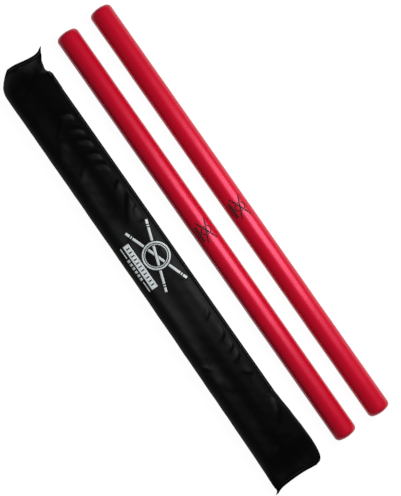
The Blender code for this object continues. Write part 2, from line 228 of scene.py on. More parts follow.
def make_satin_nylon():
    """Satin-woven nylon: near black, and its long floats give a glow that is wide across it."""
    made, tree, shader = new_material("satin_nylon_black")
    flat = add(tree, "ShaderNodeUVMap", uv_map=CLOTH_MAP).outputs["UV"]
    # Threads are 0.2 mm apart; they are drawn 0.5 mm apart so that the weave shows close to.
    across = add(
        tree, "ShaderNodeTexWave",
        {"Vector": flat, "Scale": WAVE_TURN / (0.5 * MM), "Distortion": 0.8, "Detail": 1.0},
        wave_type="BANDS", bands_direction="Y",
    )
    along = add(
        tree, "ShaderNodeTexWave",
        {"Vector": flat, "Scale": WAVE_TURN / (2.0 * MM), "Distortion": 1.5, "Detail": 1.0},
        wave_type="BANDS", bands_direction="DIAGONAL",
    )
    weave = add(
        tree, "ShaderNodeMath",
        {0: across.outputs["Fac"], 1: along.outputs["Fac"]},
        operation="MULTIPLY",
    )
    colour = add(
        tree, "ShaderNodeMix",
        {"Factor": weave.outputs["Value"], 6: linear("#030303"), 7: linear("#070808")},
        data_type="RGBA",
    )
    # Slubs, where the yarn is uneven, are drawn out along the threads: 40 mm by 5 mm.
    drawn = add(
        tree, "ShaderNodeMapping", {"Vector": flat, "Scale": (1 / (40 * MM), 1 / (5 * MM), 1.0)}
    )
    slub = add(
        tree, "ShaderNodeTexNoise",
        {"Vector": drawn.outputs["Vector"], "Scale": 1.0, "Detail": 4.0},
    )
    rough = add(
        tree, "ShaderNodeMapRange",
        {"Value": slub.outputs["Fac"], "To Min": 0.38, "To Max": 0.48},
    )
    bump = add(
        tree, "ShaderNodeBump",
        {"Height": weave.outputs["Value"], "Strength": 0.4, "Distance": 0.05 * MM},
    )
    grain = add(tree, "ShaderNodeTangent", direction_type="UV_MAP", uv_map=CLOTH_MAP)
    tree.links.new(colour.outputs[2], shader.inputs["Base Color"])
    tree.links.new(rough.outputs["Result"], shader.inputs["Roughness"])
    tree.links.new(bump.outputs["Normal"], shader.inputs["Normal"])
    tree.links.new(grain.outputs["Tangent"], shader.inputs["Tangent"])
    set_inputs(shader, IOR=1.5, Specular_IOR_Level=0.08)
    set_inputs(shader, Anisotropic=0.85, Anisotropic_Rotation=0.25)
    return made


def make_woven(name, code, spacing):
    """Ribbed polyester weave, with its rib spacing in millimetres: matt, with a thread grain."""
    made, tree, shader = new_material(name)
    place = add(tree, "ShaderNodeTexCoord").outputs["Object"]
    ribs = add(
        tree, "ShaderNodeTexWave",
        {"Vector": place, "Scale": WAVE_TURN / (spacing * MM), "Distortion": 0.6, "Detail": 2.0},
        wave_type="BANDS", bands_direction="X",
    )
    bump = add(
        tree, "ShaderNodeBump",
        {"Height": ribs.outputs["Fac"], "Strength": 0.5, "Distance": 0.12 * MM},
    )
    tree.links.new(bump.outputs["Normal"], shader.inputs["Normal"])
    set_inputs(shader, Base_Color=linear(code), Roughness=0.75, Specular_IOR_Level=0.15)
    return made


def make_plain(name, code, roughness, metallic=0.0, grain=0.4, gloss=0.5):
    """A single-coloured finish with a fine grain, in millimetres, in its roughness and surface."""
    made, tree, shader = new_material(name)
    place = add(tree, "ShaderNodeTexCoord").outputs["Object"]
    speck = add(
        tree, "ShaderNodeTexNoise", {"Vector": place, "Scale": 1 / (grain * MM), "Detail": 3.0}
    )
    rough = add(
        tree, "ShaderNodeMapRange",
        {"Value": speck.outputs["Fac"], "To Min": roughness - 0.07, "To Max": roughness + 0.07},
    )
    bump = add(
        tree, "ShaderNodeBump",
        {"Height": speck.outputs["Fac"], "Strength": 0.3, "Distance": 0.03 * MM},
    )
    tree.links.new(rough.outputs["Result"], shader.inputs["Roughness"])
    tree.links.new(bump.outputs["Normal"], shader.inputs["Normal"])
    set_inputs(shader, Base_Color=linear(code), Metallic=metallic, Specular_IOR_Level=gloss)
    return made


def make_ink(name, code, worn, patch, cover):
    """Screen-print ink over cloth or foam: flat and matt, thin where the surface below has grain.

    The worn colour shows in patches of that size in millimetres, where noise passes cover.
    """
    made, tree, shader = new_material(name)
    place = add(tree, "ShaderNodeTexCoord").outputs["Object"]
    thin = add(
        tree, "ShaderNodeTexNoise", {"Vector": place, "Scale": 1 / (patch * MM), "Detail": 5.0}
    )
    share = add(
        tree, "ShaderNodeMapRange",
        {"Value": thin.outputs["Fac"], "From Min": cover, "From Max": cover + 0.15},
    )
    colour = add(
        tree, "ShaderNodeMix",
        {"Factor": share.outputs["Result"], 6: linear(code), 7: linear(worn)},
        data_type="RGBA",
    )
    bump = add(
        tree, "ShaderNodeBump",
        {"Height": thin.outputs["Fac"], "Strength": 0.3, "Distance": 0.05 * MM},
    )
    tree.links.new(colour.outputs[2], shader.inputs["Base Color"])
    tree.links.new(bump.outputs["Normal"], shader.inputs["Normal"])
    set_inputs(shader, Roughness=0.55, Specular_IOR_Level=0.3)
    return made


# --- Sticks -------------------------------------------------------------------------------------
# The skin's long waves and its dimples along the stick, and the steps of a rim and of the side.
SKIN_WAVE = 0.038
SKIN_DIMPLE = 0.011
RIM_STEPS = 18
SIDE_STEPS = 150
# Radii across a plug's face, out to its small rounded edge.
PLUG_EDGE = 0.0006
PLUG_FACE = (0, 0.003, 0.006, 0.0085, PLUG_RADIUS - PLUG_EDGE)


def end_depth(radius, stick_radius):
    """How far the end lies below its tip at that radius: a shallow dome, then a round rim."""
    rim_centre = stick_radius - RIM_RADIUS
    rim_depth = DOME_RADIUS - math.sqrt((DOME_RADIUS - RIM_RADIUS) ** 2 - rim_centre**2)
    tangent_radius = DOME_RADIUS * rim_centre / (DOME_RADIUS - RIM_RADIUS)
    if radius <= tangent_radius:
        return DOME_RADIUS - math.sqrt(DOME_RADIUS**2 - radius**2)
    reach = min(1.0, (radius - rim_centre) / RIM_RADIUS)
    return rim_depth - RIM_RADIUS * math.sqrt(1 - reach**2)


def lathe(profile, centre, steps, dent=None, closed=True):
    """Spins a profile of (place along X, radius) round a stick's axis.

    dent(x, angle, radius) moves the skin in or out by a little. A closed profile makes a tube; an
    open one starts and ends on the axis and makes a plug.
    """
    bm = bmesh.new()
    turns = [2 * math.pi * i / steps for i in range(steps)]
    rings = []
    for x, radius in profile:
        ring = []
        for a in turns if radius > 0 else [0.0]:
            r = radius + (dent(x, a, radius) if dent else 0.0)
            spot = (centre.x + x, centre.y + r * math.sin(a), centre.z + r * math.cos(a))
            ring.append(bm.verts.new(spot))
        rings.append(ring)
    for ring, following in zip(rings, rings[1:] + (rings[:1] if closed else [])):
        for i in range(steps):
            j = (i + 1) % steps
            corners = [ring[i % len(ring)], ring[j % len(ring)]]
            corners += [following[j % len(following)], following[i % len(following)]]
            bm.faces.new(list(dict.fromkeys(corners)))
    bmesh.ops.recalc_face_normals(bm, faces=bm.faces)
    return bm


def make_stick(name, seed, foam, cut_foam):
    """The foam sleeve and the two end plugs, which all follow one domed end."""
    low, high = (Vector(corner) for corner in STICKS[name])
    centre = (low + high) / 2
    radius = (high.z - low.z) / 2
    half_length = (high.x - low.x) / 2 + end_depth(BORE_RADIUS, radius)

    def dent(x, angle, at_radius):
        """Extruded foam isn't quite straight or round, and its skin has shallow dimples."""
        if at_radius < radius * 0.9:
            return 0.0
        c, s = math.cos(angle), math.sin(angle)
        broad = noise.noise(Vector((x / SKIN_WAVE, c * 0.9, s * 0.9 + seed)))
        fine = noise.noise(Vector((x / SKIN_DIMPLE, c * 2.4, s * 2.4 + seed)))
        return (0.16 * broad - 0.16 + 0.05 * fine) * MM

    turns = [math.pi / 2 * i / (RIM_STEPS - 1) for i in range(RIM_STEPS)]
    rim = [BORE_RADIUS + (radius - BORE_RADIUS) * math.sin(turn) for turn in turns]
    right = [(half_length - end_depth(r, radius), r) for r in rim]
    start = right[-1][0]
    side = [(start * (1 - 2 * i / SIDE_STEPS), radius) for i in range(1, SIDE_STEPS)]
    left = [(-x, r) for x, r in reversed(right)]
    bm = lathe(right + side + left, centre, 96, dent)
    sleeve = make_piece(f"{name}_foam_sleeve", bm, foam, f"{name}_stick")
    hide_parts(f"{name}_stick_foam_sleeve")

    face = [(half_length - end_depth(r, radius), r) for r in PLUG_FACE]
    face.append((face[-1][0] - PLUG_EDGE * 0.7, PLUG_RADIUS))
    back = half_length - PLUG_LENGTH
    turned = face + [(back, PLUG_RADIUS), (back, 0)]
    for number, end in ((1, -1), (2, 1)):
        bm = lathe([(end * x, r) for x, r in turned], centre, 64, closed=False)
        plug = make_piece(f"{name}_end_plug_{number}", bm, cut_foam, f"{name}_stick")
        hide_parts(f"{name}_stick_end_plug_{number}")
    return sleeve


# --- Bag ----------------------------------------------------------------------------------------
# How far the side edges stand beyond the straight, at a distance from the head or the tail, in
# millimetres: the ear and the tuck at the head, the flare and the point at the tail.
HEAD_EAR = (
    (0, 9.5), (2, 7.9), (4, 5.8), (7.8, 2.8), (15.6, -1.4), (25, -4.1), (31, -5.2), (38, -3.4),
    (47, -1.8), (73, -0.9), (150, 0),
)
HEAD_TUCK = (
    (0, -24.2), (2, -20.5), (3.6, -18.3), (6, -15.4), (10.8, -10.4), (18, -4.6), (24, -1.5),
    (32, 0.1), (80, 0),
)
TAIL_FLARE = (
    (0, -12), (1.6, -6.4), (2.8, -3.8), (7.6, -0.2), (15.6, 2.6), (30, 4.2), (60, 3.8), (76, 3),
    (100, 1.7), (124, 0.2), (150, 0),
)
TAIL_POINT = (
    (0, 8.6), (1.5, 6.4), (3, 4.6), (6, 3.4), (12, 3.4), (33, 3.1), (76, 2.4), (130, 1.8),
    (240, 0.9), (380, 0),
)
# The far side stands out by this much at the bag's middle, and by so much more for each metre
# towards the tail. Millimetres.
FAR_SIDE_OUT = 0.6
FAR_SIDE_LEAN = 3.0

# How far the end edges stand in from the bag's length, at a place across it. Millimetres.
HEAD_EDGE = (
    (-30, -0.4), (-18, -0.8), (-10, -1.4), (0, -1.0), (16, 2.0), (30, 3.6), (38, 2.4), (46, -1.4),
)
TAIL_EDGE = (
    (-42, -1.5), (-40, -0.3), (-34, 1.7), (-25, 2.6), (-12, 3.1), (6, 2.8), (18, 1.4), (34, 0.1),
    (42, -1),
)

# How far the cloth sags between the two rolls, at a place along the bag. Millimetres.
SAG = (
    (-361, 4.2), (-200, 4.8), (-120, 4.4), (-70, 2.4), (-20, 1.8), (80, 1.9), (130, 3.2),
    (200, 4.4), (361, 4.4),
)

# The sewn lip across each end, and how far the top and the underside take to close down to it. The
# ends hang a little towards the floor over END_REACH. Millimetres.
SEAM_LIP = 5.0
HEAD_CLOSE = 32.0
TAIL_CLOSE = 48.0
BASE_CLOSE = 20.0
LIP_SHARE = 0.05
END_DROP = 2.0
END_REACH = 30
# The hem is folded over this width beside the zip, and its gap runs past the teeth by HEM_RUN_OUT.
HEM_FOLD = 5.0
HEM_RUN_OUT = 4 * MM
# Points round the cloth, at distances from the hem, are close together over the fold.
HEM_POINTS = (0, 0.5, 1.2, 2.2, 3.4, 4.3, 4.8, 5.2, 5.8, 6.8, 8.2)
# Stations along the cloth are close together where the ends close. Millimetres.
END_STATIONS = (
    0, 0.3, 0.8, 1.5, 2.4, 3.4, 4.2, 4.7, 5.1, 5.5, 6, 6.7, 7.6, 8.6, 9.8, 11.2, 12.8, 14.6,
    16.4, 18,
)
MIDDLE_STATIONS = 340

# Ridges in the front cloth: (from x, from y, to x, to y, half width, height), in millimetres from
# the bag's middle. Most fan out from the zip, where its tape gathers the cloth.
RIDGES = (
    (-251, 31, -264, 14, 4.6, 1.8),
    (-222, 31, -238, 15, 3.4, 1.3),
    (-203, 31, -221, 11, 3.9, 1.8),
    (-180, 31, -196, 13, 4.0, 1.4),
    (-160, 31, -177, 15, 4.4, 1.1),
    (-138, 31, -128, 16, 4.6, 0.7),
    (-116, 31, -72, 2, 7.5, 1.3),
    (-96, 31, -86, 20, 3.4, 0.6),
    (-62, 31, -72, 18, 3.8, 0.5),
    (-30, 31, -22, 20, 3.6, 0.4),
    (34, 31, 22, 18, 4.0, 0.5),
    (82, 31, 96, 16, 4.2, 0.7),
    (116, 31, 133, 18, 3.8, 0.9),
    (140, 31, 152, 20, 3.0, 0.8),
    (157, 31, 169, 18, 3.4, 0.8),
    (198, 31, 186, 17, 4.4, 0.6),
    (244, 33, 274, 20, 4.2, 1.4),
    (-255, 10, -228, -14, 4.4, 0.5),
    (-232, -6, -200, -28, 7.0, 0.6),
    (-184, 2, -168, -16, 5.0, 0.4),
    (146, -34, 156, -22, 2.6, 1.1),
    (-60, -6, -20, -24, 9.0, 0.6),
    (204, -8, 168, -26, 8.0, 0.4),
    (300, 16, 262, -14, 9.0, 0.6),
    (306, -4, 326, -16, 5.0, 0.7),
    (-336, 22, -300, -18, 8.0, 0.7),
)


def from_ends(x):
    """Distances from the bag's head and from its tail, in millimetres."""
    return (x - BAG_HEAD_X) / MM, (BAG_TAIL_X - x) / MM


def seam_angle(x):
    """How far up the +Y roll the panels meet: at the zip, and down at mid height at the ends."""
    from_head, from_tail = from_ends(x)
    return ZIP_TILT * min(step(12, 36, from_head), step(12, 124, from_tail))


def in_zip(x):
    """1 beside the zip and 0 beyond its ends, where the hems run together."""
    inside = min(x - (ZIP_HEAD_X - HEM_RUN_OUT), (ZIP_TAIL_X + HEM_RUN_OUT) - x)
    return step(0.0, 2 * MM, inside)


def close_height(from_end, length):
    """Share of the full height near an end: a flat sewn lip, then a rise over that length."""
    if from_end < SEAM_LIP:
        puffed = math.sin(math.pi * from_end / SEAM_LIP)
        return LIP_SHARE * step(0, 0.8, from_end) + 0.035 * puffed
    t = min(1.0, (from_end - SEAM_LIP) / length)
    return LIP_SHARE + (1 - LIP_SHARE) * (1 - (1 - t) ** 1.5)


def bag_section(is_front, seam, gap):
    """Points round one panel's cross-section: (y, z, distance from the hem in millimetres).

    They start at the hem beside the zip, go over the +Y roll and the middle, and end at the seam
    on the far roll. y is from the bag's middle.
    """
    side = 1 if is_front else -1
    start = side * seam + gap / ROLL_RADIUS
    quarter = math.pi / 2
    turn = (quarter - start) * ROLL_RADIUS
    last = HEM_POINTS[-1] * MM
    count = 8 if is_front else 12
    arcs = [d * MM for d in HEM_POINTS]
    arcs += [last + (turn - last) * i / count for i in range(1, count + 1)]
    points = []
    for arc in arcs:
        a = start + arc / ROLL_RADIUS
        y, z = ROLL_RADIUS * (1 + math.cos(a)), side * ROLL_RADIUS * math.sin(a)
        points.append((y, z, arc / MM))
    flat_count = 26 if is_front else 14
    for i in range(1, flat_count):
        across = 2 * ROLL_RADIUS * i / flat_count
        points.append((ROLL_RADIUS - across, side * ROLL_RADIUS, (turn + across) / MM))
    for i in range(19):
        a = quarter + quarter * i / 18
        arc = turn + ROLL_RADIUS * (2 + quarter * i / 18)
        y, z = ROLL_RADIUS * (math.cos(a) - 1), side * ROLL_RADIUS * math.sin(a)
        points.append((y, z, arc / MM))
    return points


def bag_stations():
    """Places along X, from the head to the tail."""
    length = (BAG_TAIL_X - BAG_HEAD_X) / MM
    end = END_STATIONS[-1]
    middle = [end + (length - 2 * end) * i / MIDDLE_STATIONS for i in range(1, MIDDLE_STATIONS)]
    places = [*END_STATIONS, *middle, *[length - d for d in reversed(END_STATIONS)]]
    return [BAG_HEAD_X + d * MM for d in places]


def valley(x, y):
    """How far the cloth sags between the two rolls, in metres. x and y in millimetres."""
    middle = -2.5 - 6.0 * step(-100, 20, x) + 2.4 * wander(x, 0, 3.1, 90)
    depth = eased(SAG, x) + wander(x, 0, 7.7, 60)
    half_width = 17.5
    share = max(0.0, 1 - abs(y - middle) / half_width)
    return depth * MM * (share * share * (3 - 2 * share))


def ridges(x, y):
    """Height of the folds at a place on the front cloth, in metres. x and y in millimetres.

    Each fold is steep on the side away from the bag's middle and falls gently towards it.
    """
    total = 0.0
    for x0, y0, x1, y1, width, height in RIDGES:
        dx, dy = x1 - x0, y1 - y0
        length = math.hypot(dx, dy)
        along = ((x - x0) * dx + (y - y0) * dy) / length
        if along < -5 or along > length + 9:
            continue
        bow = 1.6 * math.sin(math.pi * min(1.2, max(-0.2, along / length)))
        aside = ((x - x0) * -dy + (y - y0) * dx) / length
        aside = (aside if x0 < 0 else -aside) + bow
        gentle = 2.2 * width * (0.85 + 0.3 * along / length)
        steep = 0.9 * width
        if -steep < aside < gentle:
            crest = 0.5 + 0.5 * math.cos(math.pi * aside / (gentle if aside > 0 else steep))
            fade = 1 - step(length * 0.5, length + 9, along)
            total += height * crest * step(-5, 5, along) * fade
    return total * MM


def bag_outline(x, y):
    """Moves a point of the plain bag out to its outline: (x, y) in metres, y from its middle."""
    from_head, from_tail = from_ends(x)
    if y > 0:
        outwards = eased(HEAD_EAR, from_head) + eased(TAIL_FLARE, from_tail)
        # The zip's tape holds the cloth nearly straight beside it.
        held = min(step(-10, 3, (x - ZIP_HEAD_X) / MM), step(-16, 3, (ZIP_TAIL_X - x) / MM))
        outwards *= 1 - 0.9 * held
        outwards += 0.3 * (1 - in_zip(x)) * wander(x / MM, 40, 2.2, 22)
    else:
        outwards = eased(HEAD_TUCK, from_head) + eased(TAIL_POINT, from_tail)
        outwards += FAR_SIDE_OUT + FAR_SIDE_LEAN * x
        outwards += 0.35 * wander(x / MM, -40, 2.2, 22)
    y *= 1 + outwards * MM / BAG_HALF_WIDTH
    x += eased(HEAD_EDGE, y / MM) * MM * (1 - step(2, 30, from_head))
    x -= eased(TAIL_EDGE, y / MM) * MM * (1 - step(2, 30, from_tail))
    return x, y


def hem_lift(from_hem, beside_zip):
    """The hem is folded under and sewn down beside the zip, and sewn shut beyond its ends."""
    lift = 0.0
    if beside_zip > 0:
        folded = step(0, 0.6, from_hem) * (1 - step(HEM_FOLD - 0.4, HEM_FOLD + 0.1, from_hem))
        pinch = math.exp(-((from_hem - HEM_FOLD) / 0.6) ** 2)
        lift += (0.28 * folded - 0.22 * pinch) * beside_zip
    if beside_zip < 1:
        lift -= 0.55 * math.exp(-(from_hem / 1.3) ** 2) * (1 - beside_zip)
    return lift


def bag_point(x, y, z, from_hem, is_front):
    """Places one point of a panel: (y, z) come from its plain section, about the bag's middle."""
    from_head, from_tail = from_ends(x)
    from_end = min(from_head, from_tail)
    share = min(
        close_height(from_head, HEAD_CLOSE if z > 0 else BASE_CLOSE),
        close_height(from_tail, TAIL_CLOSE if z > 0 else BASE_CLOSE),
    )
    placed_x, wide = bag_outline(x, y)
    x_mm, y_mm = x / MM, wide / MM
    ear = step(20, 46, y_mm) * (1 - step(0, END_REACH, from_head))
    tall = z * share - END_DROP * MM * (1 - step(0, END_REACH, from_end)) * (1 + ear)

    # From here, lift gathers what moves the point along its normal, in millimetres.
    out = Vector((0, math.copysign(max(0.0, abs(y) - ROLL_RADIUS), y), z))
    out = out.normalized() if out.length > 0 else Vector((0, 0, 1))
    # The end seams gather the cloth into short puckers along the bag.
    pucker = step(SEAM_LIP, SEAM_LIP + 5, from_end) * (1 - step(14, 42, from_end))
    lift = 1.1 * pucker * wander(x_mm * 0.15, y_mm + (0 if is_front else 70), 3.7, 6.5)
    lift += hem_lift(from_hem, in_zip(x))
    if y < 0:
        lift -= 0.5 * math.exp(-(z / (1.4 * MM)) ** 2) * step(1.7, 1.9, abs(y) / ROLL_RADIUS)
    if is_front and share > 0.1:
        hold = step(HEM_FOLD, HEM_FOLD + 4, from_hem)
        if y < 0:
            hold = min(hold, step(0.03, 0.35, z / ROLL_RADIUS))
        tall -= valley(x_mm, y_mm) * share
        broad = 0.6 * wander(x_mm * 0.8 + y_mm, y_mm - x_mm * 0.3, 1.3, 34)
        medium = 0.14 * wander(x_mm - y_mm * 0.7, y_mm, 6.1, 13)
        fine = 0.04 * wander(x_mm + 0.5 * y_mm, y_mm * 1.4, 9.2, 6)
        lift += (ridges(x_mm, y_mm) / MM + broad + medium + fine) * hold * share
    elif share > 0.1:
        hold = step(HEM_FOLD, HEM_FOLD + 5, from_hem) * step(0.02, 0.4, z / ROLL_RADIUS + 1)
        if y < 0:
            hold = min(hold, step(0.03, 0.35, -z / ROLL_RADIUS))
        broad = 0.8 * wander(x_mm - y_mm, y_mm + 9, 4.4, 20)
        medium = 0.3 * wander(x_mm, z / MM, 8.8, 9)
        lift += (broad + medium) * hold * share
        # The part on the floor is pressed nearly flat.
        under = step(0.75, 0.97, -z / ROLL_RADIUS)
        tall += (0.35 + 0.35 * wander(x_mm, y_mm, 5.5, 22)) * MM * under
    wide += out.y * lift * MM
    tall += out.z * lift * MM
    return Vector((placed_x, BAG_Y + wide, max(0.0, BAG_MID_Z + tall)))


def make_panel(name, is_front, finish):
    """One cloth panel: a sheet of quads with its UV map in metres, then its thickness."""
    bm = bmesh.new()
    cloth_map = bm.loops.layers.uv.new(CLOTH_MAP)
    rows = []
    flat = {}
    for x in bag_stations():
        section = bag_section(is_front, seam_angle(x), HEM * in_zip(x))
        rows.append([bm.verts.new(bag_point(x, y, z, d, is_front)) for y, z, d in section])
        for corner, (_, _, d) in zip(rows[-1], section):
            flat[corner] = (x, (section[-1][2] - d) * MM)
    for row, following in zip(rows, rows[1:]):
        for i in range(len(row) - 1):
            corners = (row[i], row[i + 1], following[i + 1], following[i])
            face = bm.faces.new(corners if is_front else reversed(corners))
            for loop in face.loops:
                loop[cloth_map].uv = flat[loop.vert]
    panel = make_piece(name, bm, finish, "bag")
    wall = panel.modifiers.new("cloth", "SOLIDIFY")
    wall.thickness = CLOTH
    wall.offset = -1
    return panel


def surface_tree(piece):
    """A search tree over a piece's finished surface."""
    return BVHTree.FromObject(piece, bpy.context.evaluated_depsgraph_get())


# --- Prints -------------------------------------------------------------------------------------
# A plain badge in millimetres about its middle: a double ring, two crossed sticks, a slotted bar
# and a beaded line. The bold ring is for the small prints.
RING_MIDDLE = (0, 8)
THIN_RINGS = ((18.4, 20.8), (15.9, 17.1))
BOLD_RINGS = ((16.2, 20.8),)
STICK_TIP = (-51.0, 26.0)
STICK_BUTT = (51.0, -10.0)
# Along a stick from its tip: end, band and shaft, and the same again beyond the ring. Inside it,
# the stick that passes under the other stops short of it, with ends on the slant of the crossing.
OUTER_PARTS = ((0, 7), (8.4, 10.6), (12, 32), (76.2, 96.2), (97.6, 99.8), (101.2, 108.2))
OVER_MIDDLE = (39.6, 68.6)
UNDER_MIDDLES = ((39.6, 50.0), (58.2, 68.6))
CROSSING_SLANT = 1.24
BAR = (-37, 37, -25, -15)
BAR_RAIL = 2.4
BAR_SLOTS = 11
SLOT_HALF = 0.9
LINE_MIDDLE = -29.0
LINE_HALF = 0.8
LINE_LENGTH = 17
BEADS = 6
BEAD_PITCH = 6.2
BEAD_HALF = (2.1, 1.9)
# The print is laid in cells of this size, so that it follows the folds below it.
GRID = 1.2
INK = 0.07 * MM
# Half the width of a drawn stick, for the bag and for the small prints.
THIN_STROKE = 1.9
BOLD_STROKE = 2.9
# The bag's badge is this far along and across from the bag's middle, in millimetres.
BADGE_PLACE = (-19.1, 2)
# A stick's badge is a third of the size along it, a little wider round it, and this far along it.
SMALL_ALONG = 0.33
SMALL_AROUND = 0.42
SMALL_PLACE = -8 * MM
# The search for the surface under a print starts this high over the floor, or off a stick's axis.
BAG_REACH = 0.12
STICK_REACH = 0.05


def grid_quads(corner_of, count_u, count_v):
    """The quads of a grid, from a function of two shares."""
    points = [
        [corner_of(i / count_u, j / count_v) for j in range(count_v + 1)]
        for i in range(count_u + 1)
    ]
    return [
        (points[i][j], points[i + 1][j], points[i + 1][j + 1], points[i][j + 1])
        for i in range(count_u) for j in range(count_v)
    ]


def box_quads(x0, x1, y0, y1):
    """An upright rectangle of the badge."""
    across = max(1, math.ceil((x1 - x0) / GRID))
    up = max(1, math.ceil((y1 - y0) / GRID))
    return grid_quads(lambda u, v: (x0 + (x1 - x0) * u, y0 + (y1 - y0) * v), across, up)


def ring_quads(inner, outer):
    """A ring of the badge, between two radii."""

    def corner(u, v):
        a = 2 * math.pi * u
        radius = inner + (outer - inner) * v
        return (RING_MIDDLE[0] + radius * math.cos(a), RING_MIDDLE[1] + radius * math.sin(a))

    return grid_quads(corner, 64, 2)


def stick_quads(part, half_width, mirror, slants=(0, 0)):
    """Part of a drawn stick; mirror is -1 for the other hand, slants lean its two ends."""
    dx, dy = STICK_BUTT[0] - STICK_TIP[0], STICK_BUTT[1] - STICK_TIP[1]
    length = math.hypot(dx, dy)
    dx, dy = dx / length, dy / length
    low, high = part

    def corner(u, v):
        aside = half_width * (2 * v - 1)
        along = low + (high - low) * u + aside * (slants[0] + (slants[1] - slants[0]) * u)
        x = STICK_TIP[0] + dx * along - dy * aside
        return (mirror * x, STICK_TIP[1] + dy * along + dx * aside)

    return grid_quads(corner, max(2, math.ceil((high - low) / GRID)), 3)


def badge_quads(rings, half_width):
    """The whole badge, with those rings and sticks drawn that wide to each side."""
    quads = []
    for inner, outer in rings:
        quads += ring_quads(inner, outer)
    for mirror in (1, -1):
        for part in OUTER_PARTS:
            quads += stick_quads(part, half_width, mirror)
    quads += stick_quads(OVER_MIDDLE, half_width, 1)
    quads += stick_quads(UNDER_MIDDLES[0], half_width, -1, (0, CROSSING_SLANT))
    quads += stick_quads(UNDER_MIDDLES[1], half_width, -1, (CROSSING_SLANT, 0))
    x0, x1, y0, y1 = BAR
    quads += box_quads(x0, x1, y0, y0 + BAR_RAIL) + box_quads(x0, x1, y1 - BAR_RAIL, y1)
    pitch = (x1 - x0) / (BAR_SLOTS + 1)
    for i in range(BAR_SLOTS + 1):
        start = x0 + i * pitch + (SLOT_HALF if i else 0.0)
        stop = x0 + (i + 1) * pitch - (SLOT_HALF if i < BAR_SLOTS else 0.0)
        quads += box_quads(start, stop, y0 + BAR_RAIL, y1 - BAR_RAIL)
    for start in (x0, x1 - LINE_LENGTH):
        line = (start, start + LINE_LENGTH, LINE_MIDDLE - LINE_HALF, LINE_MIDDLE + LINE_HALF)
        quads += box_quads(*line)
    wide, high = BEAD_HALF
    for i in range(BEADS):
        middle = (i - (BEADS - 1) / 2) * BEAD_PITCH
        quads += box_quads(middle - wide, middle + wide, LINE_MIDDLE - high, LINE_MIDDLE + high)
    return quads


def make_print(name, quads, place, outward, finish, body):
    """Lays the badge on a surface: place(u, v) is its point for a place in millimetres.

    outward(point) is the way that its faces turn there.
    """
    bm = bmesh.new()
    for quad in quads:
        bm.faces.new([bm.verts.new(place(u, v)) for u, v in quad])
    bmesh.ops.remove_doubles(bm, verts=bm.verts, dist=0.02 * MM)
    for face in bm.faces:
        face.normal_update()
        if face.normal.dot(outward(face.calc_center_median())) < 0:
            face.normal_flip()
    printed = make_piece(name, bm, finish, body)
    wall = printed.modifiers.new("ink", "SOLIDIFY")
    wall.thickness = INK
    wall.offset = 1


def print_bag(cloth, ink):
    """The badge in thin strokes on the front cloth."""
    tree = surface_tree(cloth)

    def place(u, v):
        start = Vector(((u + BADGE_PLACE[0]) * MM, BAG_Y + (v + BADGE_PLACE[1]) * MM, BAG_REACH))
        hit, normal, _, _ = tree.ray_cast(start, Vector((0, 0, -1)))
        return hit + normal * 0.08 * MM

    def outward(at):
        return Vector((0, 0, 1))

    thin = badge_quads(THIN_RINGS, THIN_STROKE)
    make_print("bag_badge_print", thin, place, outward, ink, "bag")


def print_stick(name, sleeve, ink):
    """The same badge, small and in bold strokes, wrapped round the top of the foam."""
    tree = surface_tree(sleeve)
    low, high = (Vector(corner) for corner in STICKS[name])
    centre = (low + high) / 2
    radius = (high.z - low.z) / 2

    def place(u, v):
        angle = SMALL_AROUND * v * MM / radius
        away = Vector((0, math.sin(angle), math.cos(angle)))
        axis = Vector((SMALL_PLACE + SMALL_ALONG * u * MM, centre.y, centre.z))
        hit, normal, _, _ = tree.ray_cast(axis + away * STICK_REACH, -away)
        return hit + normal * 0.05 * MM

    def outward(at):
        return Vector((0, at.y - centre.y, at.z - centre.z))

    bold = badge_quads(BOLD_RINGS, BOLD_STROKE)
    make_print(f"{name}_badge_print", bold, place, outward, ink, f"{name}_stick")


# --- Repeated pieces, by Geometry Nodes ---------------------------------------------------------
# A thread is 0.3 mm thick; its stitches are drawn 0.5 mm thick so that they show.
STITCH_SIZE = (2.6 * MM, 0.55 * MM, 0.5 * MM)
STITCH_PITCH = 2.6 * MM
TOOTH_SIZE = (1.15 * MM, 3.9 * MM, 1.7 * MM)


def start_tree(name, inputs):
    """A node tree with a geometry in and out, and named inputs: (name, socket kind, value)."""
    tree = bpy.data.node_groups.new(name, "GeometryNodeTree")
    tree.interface.new_socket("Geometry", in_out="OUTPUT", socket_type="NodeSocketGeometry")
    tree.interface.new_socket("Geometry", in_out="INPUT", socket_type="NodeSocketGeometry")
    for item, kind, value in inputs:
        socket = tree.interface.new_socket(item, in_out="INPUT", socket_type=kind)
        if value is not None:
            socket.default_value = value
    return tree, add(tree, "NodeGroupInput").outputs


def finish_tree(tree, points, given, rotation, scale):
    """Puts a rounded pebble of the given size on each point, as one mesh with its material."""
    block = add(tree, "GeometryNodeMeshCube", {"Size": given["Size"]})
    pebble = add(
        tree, "GeometryNodeSubdivisionSurface", {"Mesh": block.outputs["Mesh"], "Level": 1}
    )
    row = add(
        tree, "GeometryNodeInstanceOnPoints",
        {
            "Points": points, "Instance": pebble.outputs["Mesh"],
            "Rotation": rotation, "Scale": scale,
        },
    )
    solid = add(tree, "GeometryNodeRealizeInstances", {"Geometry": row.outputs["Instances"]})
    smooth = add(tree, "GeometryNodeSetShadeSmooth", {"Geometry": solid.outputs["Geometry"]})
    dressed = add(
        tree, "GeometryNodeSetMaterial",
        {"Geometry": smooth.outputs["Geometry"], "Material": given["Material"]},
    )
    add(tree, "NodeGroupOutput", {"Geometry": dressed.outputs["Geometry"]})
    return tree


